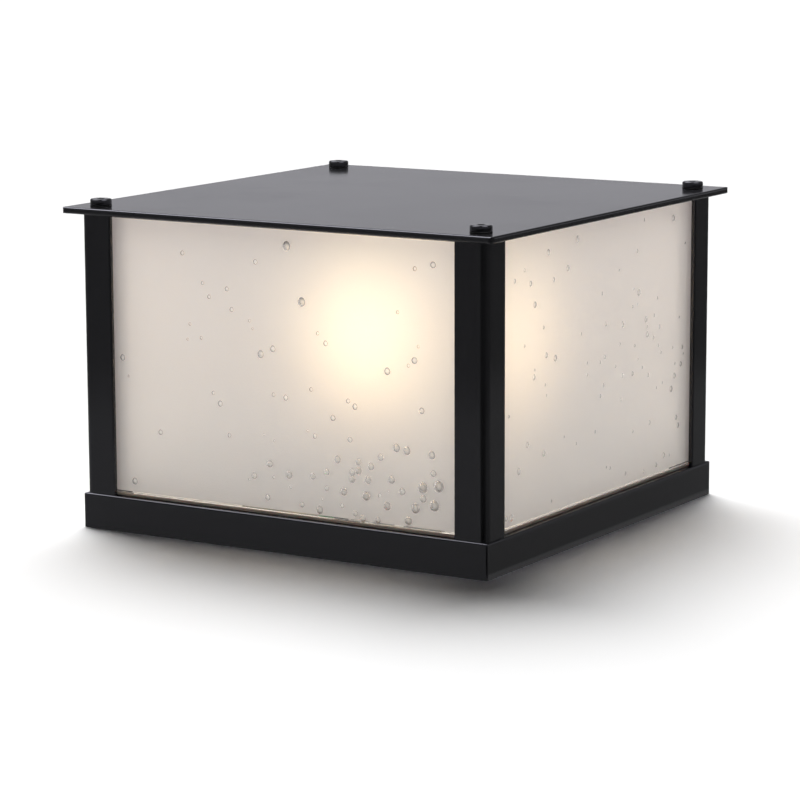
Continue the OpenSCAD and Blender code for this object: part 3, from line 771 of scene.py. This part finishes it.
def glass(name, tint, roughness, clearness, bumps, depth):
    """Solid glass of one tint and roughness with a slightly uneven face."""
    return new_finish(
        name, [STREAK * part for part in tint], tint, patches=GLASS_PATCHES, bumps=bumps,
        depth=depth, Transmission_Weight=clearness, IOR=GLASS_IOR, Roughness=roughness,
    )


clear_glass = glass("clear_seeded_glass", CLEAR_TINT, **CLEAR)
frosted_glass = glass("frosted_inner_face", (0.97, 0.95, 0.92), 0.84, 0.35, 1500, 0.05)


# %% Glass that glows
def glowing(material, cad_node, low, high, strength):
    """Lets a finish glow in two colours, from the foot to the top of a CAD node."""
    foot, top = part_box(cad_node)
    tree = material.node_tree
    shader = shader_inputs(material)
    rise = placed(tree, RISE, {"Low": low, "High": high, "From": foot.z, "To": top.z})
    shader["Emission Strength"].default_value = strength
    link(tree, rise["Colour"], shader["Emission Color"])


def dimmed_to_the_eye(material, share):
    """Keeps a lamp that is looked at directly from burning out to flat white."""
    tree = material.node_tree
    glow = feeding(material, "Emission Color")
    dimmed = node(tree, "ShaderNodeVectorMath", {0: glow, 1: share}, operation="MULTIPLY")
    blended(
        tree, node(tree, "ShaderNodeLightPath").outputs["Is Camera Ray"], glow,
        dimmed.outputs["Vector"], shader_inputs(material)["Emission Color"],
    )


# %% The lit envelope and the painted glow on the frosting
GLOW = 5.7
GLOW_LOW = (0.95, 0.66, 0.36, 1)
GLOW_HIGH = (1.0, 0.79, 0.50, 1)
GLOW_SEEN = (0.14, 0.17, 0.245)
FROST_PAINTED_GLOW_LOW = (0.105, 0.089, 0.086, 1)
FROST_PAINTED_GLOW_HIGH = (0.185, 0.156, 0.152, 1)
lamp_glass = new_finish(
    "lit_frosted_envelope", (0.88, 0.85, 0.78), (0.93, 0.91, 0.86), (0.40, 0.50),
    patches=60, bumps=1500, depth=0.02, IOR=1.5,
)
glowing(lamp_glass, "lamp_envelope", GLOW_LOW, GLOW_HIGH, GLOW)
dimmed_to_the_eye(lamp_glass, GLOW_SEEN)
# Painted light: the frosting glows faintly of its own, stronger higher up, for the lamp's light going
# round inside the housing.
glowing(frosted_glass, "glass_front", FROST_PAINTED_GLOW_LOW, FROST_PAINTED_GLOW_HIGH, 1)

# %% The walls of the bubbles
# Each bubble carries a number that is 0 in its middle and grows towards its rim, where the
# glass is painted darker, a painted shade for the dark ring that bending light gives. On the
# largest bubbles it reaches 1, and on the small ones much less.
BUBBLE_MIDDLE, BUBBLE_RIM_PAINTED_SHADE = WHITE, (0.42, 0.40, 0.38, 1)
bubble_glass = glass("bubble_walls", CLEAR_TINT, **CLEAR)
bubble_tree = bubble_glass.node_tree
rim_painted_shade_share = node(bubble_tree, "ShaderNodeAttribute", attribute_name="rim").outputs["Fac"]
blended(
    bubble_tree, rim_painted_shade_share, BUBBLE_MIDDLE, BUBBLE_RIM_PAINTED_SHADE, shader_inputs(bubble_glass)["Base Color"]
)

# %% [markdown]
# ## Dressing the construction model
# The tray, the posts, the roof and most of the fittings already have their true shape, so they
# only change their finish. The record says which finish each node takes. The lamp's tip shares
# its finish there with the steel pieces, but is nickelled on the real lamp, so it is named apart.

# %% Dress every node
FINISHES = {
    "black_paint": black_paint, "foam_rubber": foam_rubber, "clear_silicone": clear_silicone,
    "porcelain": porcelain, "black_glaze": black_glaze, "ivory_nylon": ivory_nylon,
    "green_paint": green_paint, "zinc_steel": zinc_steel, "brass": brass,
    "seeded_glass": clear_glass, "lamp_glass": lamp_glass,
    "brown_wire": brown_wire, "blue_wire": blue_wire, "green_wire": green_wire,
}
OWN_FINISHES = {"lamp_tip": nickel}
for part in frame["record"]["subparts"]:
    finish = OWN_FINISHES.get(part["node"], FINISHES[part["material_slot"]])
    for slot in frame["nodes"][part["node"]].material_slots:
        slot.material = finish


def paint(piece, *finishes):
    """Gives a new piece its finishes in order."""
    piece.data.materials.clear()
    for finish in finishes:
        piece.data.materials.append(finish)


# %% [markdown]
# The earth lead is green with a yellow stripe on each side. The tube's faces run in rows along
# the lead, so the stripe is simply two rows of faces in the second finish.

# %% Colour the leads
STRIPE_WIDTH = 0.45
paint(live_lead, brown_wire)
paint(neutral_lead, blue_wire)
paint(earth_lead, green_wire, yellow_wire)
for face in earth_lead.data.polygons:
    if abs(face.normal.z) < STRIPE_WIDTH:
        face.material_index = 1

# %% [markdown]
# ## The seeded panes
# Seeded glass is poured with small gas bubbles left in it. Light bends at the wall of each
# bubble, so it shows as a dark ring with a bright middle. A bump pattern could only hint at
# that. Here every bubble is a real hollow: one small shell is modelled with its faces turned
# inwards, and copies of it in many sizes are spread through each pane. The dark ring comes partly
# from the bending light and partly from a painted shade on the bubble walls. The largest ones of
# the front pane lie where the photograph shows them, and the others are scattered from a fixed
# seed with no two touching. Small bubbles are flatter and have a fainter painted rim shade.

# %% One bubble and one sheet of glass
ARRIS = 0.5 * MM
ARRIS_STEPS = 2
BUBBLE_RADIUS = 1 * MM
BUBBLE_SIDES, BUBBLE_RINGS = 12, 6
UPPER_PART = 0.2
UPPER_STRETCH = (0.96, 1, 1.06)

bpy.ops.object.select_all(action="DESELECT")
bpy.ops.mesh.primitive_uv_sphere_add(
    segments=BUBBLE_SIDES, ring_count=BUBBLE_RINGS, radius=BUBBLE_RADIUS,
    rotation=(math.pi / 2, 0, 0),
)
bubble = named("bubble")
settle(bubble)
with edit_mode(bubble):
    pick(bubble, "VERT", lambda spot: spot.co.z > UPPER_PART * BUBBLE_RADIUS)
    bpy.ops.transform.resize(value=UPPER_STRETCH, center_override=(0, 0, 0))
    bpy.ops.mesh.select_all(action="SELECT")
    bpy.ops.mesh.flip_normals()
bpy.ops.object.shade_smooth()
paint(bubble, bubble_glass)
# The rim number is the mask of the painted shade on the bubble walls.
rim = bubble.data.attributes.new("rim", "FLOAT", "POINT")
for spot, mark in zip(bubble.data.vertices, rim.data):
    mark.value = (math.hypot(spot.co.x, spot.co.z) / BUBBLE_RADIUS) ** 2

pane_low, pane_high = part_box("glass_front")
sheet = box_between("glass_sheet", pane_low, pane_high)
with edit_mode(sheet):
    bpy.ops.mesh.select_all(action="SELECT")
    bpy.ops.mesh.bevel(offset=ARRIS, segments=ARRIS_STEPS, affect="EDGES")
paint(sheet, clear_glass, frosted_glass)
for face in sheet.data.polygons:
    if face.normal.y > FACING:
        face.material_index = 1
measure(sheet)

# %% Where the bubbles are
PANE_MIDDLE = (pane_low + pane_high) / 2
PANE_REACH = (pane_high - pane_low) / 2
CLEAR_OF_POSTS = 5 * MM
CLEAR_OF_FACES = 0.3 * MM
BUBBLES_PER_PANE = 85
SMALLEST, SPREAD = 0.45, 0.75
SPACING, SPARE_GAP = 1.3, 0.3 * MM
FEWEST, MORE_IN_CROWD = 0.3, 1.2
TALLNESS = (0.95, 1.1)
FLATNESS, SMALL_FLATNESS = 0.42, 0.35
DARKEST_FROM = 1.5 * MM
DEPTH_SEED = 100
# Each large bubble is its place across and up the front pane and its radius, in mm.
LARGE_BUBBLES = (
    (-5, 29, 1.2), (2.5, 26, 1.2), (-6, 17.5, 1.0), (14.5, 15.5, 1.3), (24, 22.5, 1.3),
    (32.5, 22, 1.6), (33.5, 27.5, 1.2), (40.5, 19.5, 1.4), (42.5, 28.5, 1.3), (46.5, 25, 1.2),
    (44, 39, 1.3), (54, 27, 1.9), (60, 28, 1.9), (54.5, 23.5, 1.2), (51.5, 20, 1.6),
    (58.5, 21.5, 1.9), (57.5, 38, 1.3), (48.5, 15.5, 1.4), (2.5, 102, 1.5), (8, 84, 1.5),
    (-8, 65.5, 1.2), (53.5, 52, 1.0), (21.5, 33, 1.2), (12, 26.5, 1.0), (-10, 96, 0.9),
    (-19.5, 79.5, 0.8), (13, 40, 0.8), (-39.5, 97, 0.8), (29.5, 30, 1.2), (27.5, 29.5, 1.1),
    (27, 27, 1.2), (29.5, 33, 1.1), (34.5, 32, 1.2), (38.5, 35.5, 1.1), (48, 38.5, 1.3),
    (58, 32, 1.1), (31.5, 14.5, 1.2), (37, 14.5, 1.1), (17.5, 28.5, 1.1),
)


def scattered(seed, spots):
    """Adds bubbles at random to a list of (x, z, radius), closer together low and to the right."""
    chance = random.Random(seed)
    reach_x = PANE_REACH.x - CLEAR_OF_POSTS
    low, high = pane_low.z + CLEAR_OF_POSTS / 2, pane_high.z - CLEAR_OF_POSTS / 2
    spots = list(spots)
    while len(spots) < BUBBLES_PER_PANE:
        x, z = chance.uniform(-reach_x, reach_x), chance.uniform(low, high)
        radius = (SMALLEST + SPREAD * chance.random() ** 2) * MM
        crowd = 0.5 * (x / reach_x + 1) * (high - z) / (high - low)
        if chance.random() > FEWEST + MORE_IN_CROWD * crowd:
            continue
        if all(
            math.hypot(x - a, z - b) > SPACING * (radius + r) + SPARE_GAP for a, b, r in spots
        ):
            spots.append((x, z, radius))
    return spots


# %% The four panes
SIDE_NAMES = ("front", "right", "back", "left")


def pane(name, turn, seed, spots):
    """A sheet of glass with its own bubbles, made as the front pane and then turned."""
    chance = random.Random(DEPTH_SEED + seed)
    parts = [copy_of(sheet, "sheet")]
    for x, z, radius in scattered(seed, spots):
        hollow = copy_of(bubble, "hollow")
        strength = min(1, (radius / DARKEST_FROM) ** 2)
        flatness = FLATNESS * (SMALL_FLATNESS + (1 - SMALL_FLATNESS) * strength)
        depth = min(flatness * radius, PANE_REACH.y - CLEAR_OF_FACES)
        slack = PANE_REACH.y - CLEAR_OF_FACES - depth
        height = radius * chance.uniform(*TALLNESS)
        hollow.scale = Vector((radius, depth, height)) / BUBBLE_RADIUS
        hollow.location = (x, PANE_MIDDLE.y + chance.uniform(-slack, slack), z)
        # Smaller bubbles get a fainter painted rim shade.
        for mark in hollow.data.attributes["rim"].data:
            mark.value *= strength
        parts.append(hollow)
    piece = joined(name, parts)
    piece.rotation_euler.z = turn
    settle(piece)
    return piece


for number, side in enumerate(SIDE_NAMES):
    known = [(x * MM, z * MM, radius * MM) for x, z, radius in LARGE_BUBBLES]
    piece = pane(f"seeded_pane_{side}", number * math.pi / 2, number, known if number == 0 else [])
    mount(piece, "seeded_glass", "root", f"glass_{side}")
for mould in (bubble, sheet):
    bpy.data.objects.remove(mould)

# %% [markdown]
# ## The roof screws
# Four low-head socket screws hold the roof down. On the real screw the thread is rolled as one
# winding ridge. The Screw modifier makes exactly that from the outline of a single turn: it
# sweeps the outline round the axis and upwards by one pitch, again and again. The ends are then
# cut flat with bisect, and the head is a disc with a rounded rim and a six-sided socket.

# %% A winding thread
def winding(name, section, pitch, turns, sides):
    """Sweeps the section of one turn, given as radius and height, into a thread."""
    piece = drawn_line(name, [(radius, 0, height) for radius, height in section])
    thread = piece.modifiers.new("thread", "SCREW")
    thread.axis = "Z"
    thread.screw_offset = pitch
    thread.iterations = turns
    thread.steps = thread.render_steps = sides
    alone(piece)
    bpy.ops.object.modifier_apply(modifier=thread.name)
    with edit_mode(piece):
        bpy.ops.mesh.select_all(action="SELECT")
        bpy.ops.mesh.remove_doubles(threshold=WELD)
    return piece


SNAP = 0.0005 * MM


def cut_flat(piece, height, keep_above):
    """Cuts a piece level at a height and closes the cut."""
    with edit_mode(piece):
        bpy.ops.mesh.select_all(action="SELECT")
        bpy.ops.mesh.bisect(
            plane_co=(0, 0, height), plane_no=(0, 0, 1), use_fill=True, threshold=SNAP,
            clear_inner=keep_above, clear_outer=not keep_above,
        )
        bpy.ops.mesh.select_all(action="SELECT")
        bpy.ops.mesh.normals_make_consistent(inside=False)


# %% One roof screw
screw_low, screw_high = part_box("screw_front_left")
SCREW_MIDDLE = (screw_low + screw_high) / 2
HEAD_RADIUS = (screw_high.x - screw_low.x) / 2
HEAD_HEIGHT = 2.0 * MM
HEAD_RIM = 0.5 * MM
HEAD_RIM_STEPS = 5
FOOT_CHAMFER = 0.15 * MM
HEAD_SIDES = 64
KEY_FLATS = 2.5 * MM
SOCKET_RADIUS = KEY_FLATS / 2 / math.cos(math.pi / 6)
SOCKET_DEPTH = 1.2 * MM
SCREW_PITCH = 0.7 * MM
CREST, ROOT = 1.95 * MM, 1.55 * MM
CREST_FROM, CREST_TO = 0.40, 0.55
SPARE_TURNS = 2
SCREW_SIDES = 24
WOUND = math.radians(40)
IN_THE_HEAD = 0.3 * MM
NEARLY = 0.01 * MM

head_low = screw_high.z - HEAD_HEIGHT
turns = math.ceil((head_low - screw_low.z) / SCREW_PITCH) + 2 * SPARE_TURNS
start = screw_low.z - SPARE_TURNS * SCREW_PITCH
shank = winding("shank", [
    (ROOT, start), (CREST, start + CREST_FROM * SCREW_PITCH),
    (CREST, start + CREST_TO * SCREW_PITCH), (ROOT, start + SCREW_PITCH),
], SCREW_PITCH, turns, SCREW_SIDES)
cut_flat(shank, screw_low.z, keep_above=True)
cut_flat(shank, head_low + IN_THE_HEAD, keep_above=False)
bpy.ops.object.shade_smooth_by_angle(angle=WOUND)

head = lathe("head", [
    (0, head_low), (HEAD_RADIUS - FOOT_CHAMFER, head_low),
    (HEAD_RADIUS, head_low + FOOT_CHAMFER), (HEAD_RADIUS, screw_high.z), (0, screw_high.z),
], HEAD_SIDES)
with edit_mode(head):
    pick(head, "EDGE", lambda edge: all(
        spot.co.z > screw_high.z - NEARLY
        and math.hypot(spot.co.x, spot.co.y) > HEAD_RADIUS - NEARLY
        for spot in edge.verts
    ))
    bpy.ops.mesh.bevel(offset=HEAD_RIM, segments=HEAD_RIM_STEPS, affect="EDGES")
bpy.ops.object.select_all(action="DESELECT")
bpy.ops.mesh.primitive_cylinder_add(
    vertices=6, radius=SOCKET_RADIUS, depth=2 * SOCKET_DEPTH, location=(0, 0, screw_high.z)
)
key = named("key")
settle(key)
socket = head.modifiers.new("socket", "BOOLEAN")
socket.object = key
socket.operation = "DIFFERENCE"
alone(head)
bpy.ops.object.modifier_apply(modifier=socket.name)
bpy.ops.object.shade_smooth_by_angle(angle=ROUNDED)
bpy.data.objects.remove(key)
roof_screw = joined("roof_screw", [head, shank])
paint(roof_screw, black_paint)

# %% The four roof screws and their washers
CORNERS = {"front_left": (-1, -1), "front_right": (1, -1), "back_right": (1, 1), "back_left": (-1, 1)}
SCREW_REACH = -SCREW_MIDDLE.x
WASHER_BORE = 2.0 * MM
WASHER_SIDES = 48
WASHER_EDGE, WASHER_EDGE_STEPS = 0.12 * MM, 3

washer_low, washer_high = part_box("washer_front_left")
washer = lathe("washer", [
    (WASHER_BORE, washer_low.z), (HEAD_RADIUS, washer_low.z), (HEAD_RADIUS, washer_high.z),
    (WASHER_BORE, washer_high.z), (WASHER_BORE, washer_low.z),
], WASHER_SIDES)
soften(washer, WASHER_EDGE, WASHER_EDGE_STEPS)
paint(washer, foam_rubber)
for corner, (along, across) in CORNERS.items():
    spot = (along * SCREW_REACH, across * SCREW_REACH, 0)
    mount(copy_of(roof_screw, f"roof_screw_{corner}", shift=spot), "black_paint",
          f"screw_{corner}", f"screw_{corner}")
    mount(copy_of(washer, f"soft_washer_{corner}", shift=spot), "foam_rubber",
          f"washer_{corner}", f"washer_{corner}")
for mould in (roof_screw, washer):
    bpy.data.objects.remove(mould)

# %% [markdown]
# ## Rubber and silicone
# Strips under and over each pane, a square gasket under the deck, a ring round the neck of the
# lamp and a grommet in the wire entry keep the rain out. All of them are soft mouldings, so no
# edge is sharp. Each starts as a plain solid and every edge is then rolled over with a bevel of
# several steps. One strip is modelled and copied to the four sides.

# %% The strips at the panes
ROLL_STEPS = 4
STRIP_EDGE = 0.3 * MM
PANE_WIDTH = pane_high.x - pane_low.x
SEAL_LENGTH = 134 * MM


def four_strips(name, cad_node, length):
    """A soft strip under or over each pane, as one piece."""
    low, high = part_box(cad_node)
    width = pane_high.y - pane_low.y
    middle = Vector((0, PANE_MIDDLE.y, (low.z + high.z) / 2))
    reach = Vector((length, width, high.z - low.z)) / 2
    strip = box_between("strip", middle - reach, middle + reach)
    soften(strip, STRIP_EDGE, ROLL_STEPS)
    strips = [copy_of(strip, "strip", turn=number * math.pi / 2) for number in range(4)]
    bpy.data.objects.remove(strip)
    return joined(name, strips)


cushions = four_strips("soft_glass_cushions", "glass_cushions", PANE_WIDTH)
paint(cushions, clear_silicone)
mount(cushions, "clear_silicone", "root", "glass_cushions")
seals = four_strips("soft_roof_seals", "roof_seals", SEAL_LENGTH)
paint(seals, foam_rubber)
mount(seals, "foam_rubber", "roof", "roof_seals")

# %% The gasket on the post
GASKET_BAND = 12 * MM
GASKET_EDGE = 0.5 * MM
gasket_low, gasket_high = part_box("post_gasket")
gasket = box_between("soft_post_gasket", gasket_low, gasket_high)
with edit_mode(gasket):
    pick(gasket, "FACE", lambda face: abs(face.normal.z) > FACING)
    bpy.ops.mesh.inset(thickness=GASKET_BAND, depth=0)
    bpy.ops.mesh.bridge_edge_loops()
soften(gasket, GASKET_EDGE, ROLL_STEPS)
paint(gasket, foam_rubber)
mount(gasket, "foam_rubber", "root", "post_gasket")

# %% The ring round the lamp's neck
NECK_BORE = 5.94 * MM
RING_EDGE = 0.45 * MM
RING_SIDES = 64
neck_low, neck_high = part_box("neck_seal")
neck_ring = lathe("soft_neck_seal", [
    (NECK_BORE, neck_low.z), (neck_high.x, neck_low.z), (neck_high.x, neck_high.z),
    (NECK_BORE, neck_high.z), (NECK_BORE, neck_low.z),
], RING_SIDES)
soften(neck_ring, RING_EDGE, ROLL_STEPS)
paint(neck_ring, foam_rubber)
mount(neck_ring, "foam_rubber", "lamp_seal", "neck_seal")

# %% The grommet in the wire entry
GROMMET_BORE = 5 * MM
GROMMET_NECK = 8 * MM
DECK_LOW, DECK_HIGH = 9.5 * MM, 12 * MM
lip_low, lip_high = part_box("wire_grommet")
lip_middle = (lip_low + lip_high) / 2
LIP_RADIUS = (lip_high.x - lip_low.x) / 2
grommet = lathe("soft_wire_grommet", [
    (GROMMET_BORE, lip_low.z), (LIP_RADIUS, lip_low.z), (LIP_RADIUS, DECK_LOW),
    (GROMMET_NECK, DECK_LOW), (GROMMET_NECK, DECK_HIGH), (LIP_RADIUS, DECK_HIGH),
    (LIP_RADIUS, lip_high.z), (GROMMET_BORE, lip_high.z), (GROMMET_BORE, lip_low.z),
], RING_SIDES, axis=(lip_middle.x, lip_middle.y))
soften(grommet, RING_EDGE, ROLL_STEPS)
paint(grommet, foam_rubber)
mount(grommet, "foam_rubber", "root", "wire_grommet")

# %% [markdown]
# ## The lamp's screw cap
# The cap is thin metal rolled into a round, shallow thread that winds up to a plain collar
# under the glass. The same sweep as for the screws makes it, with a wave instead of a pointed
# ridge. At its foot the thread is cut flat, where the black glass insulator closes it.

# %% The lamp's screw cap
CAP_PITCH = 2.54 * MM
CAP_WAVE = 0.3 * MM
CAP_RADIUS = 5.9 * MM
COLLAR_RADIUS = 7.65 * MM
WAVE_STEPS = 8
CAP_SIDES = 32
THREAD_END = 41.5 * MM
GLASS_FOOT = 44.2 * MM
OVERLAP = 0.2 * MM
INSIDE_THREAD = 5.2 * MM
cap_low, cap_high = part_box("lamp_cap")
first = cap_low.z - SPARE_TURNS * CAP_PITCH
wave = [
    (
        CAP_RADIUS - CAP_WAVE + CAP_WAVE * math.cos(math.tau * step / WAVE_STEPS),
        first + CAP_PITCH * step / WAVE_STEPS,
    )
    for step in range(WAVE_STEPS + 1)
]
cap_turns = math.ceil((THREAD_END - first) / CAP_PITCH) + 1
thread = winding("rolled_thread", wave, CAP_PITCH, cap_turns, CAP_SIDES)
cut_flat(thread, cap_low.z, keep_above=True)
cut_flat(thread, THREAD_END + OVERLAP, keep_above=False)
collar = lathe("collar", [
    (0, THREAD_END - OVERLAP), (INSIDE_THREAD, THREAD_END - OVERLAP), (CAP_RADIUS, THREAD_END),
    (CAP_RADIUS, GLASS_FOOT), (COLLAR_RADIUS, GLASS_FOOT), (COLLAR_RADIUS, cap_high.z),
    (0, cap_high.z),
], CAP_SIDES)
lamp_cap = joined("rolled_lamp_cap", [thread, collar])
bpy.ops.object.shade_smooth_by_angle(angle=TUBULAR)
paint(lamp_cap, nickel)
mount(lamp_cap, "zinc_steel", "lamp", "lamp_cap")

# %% [markdown]
# ## The finished lamp
# The scene is shown in plain display colours, so that a colour renders as it was written.

# %% Plain display colours
scene.view_settings.view_transform = "Standard"
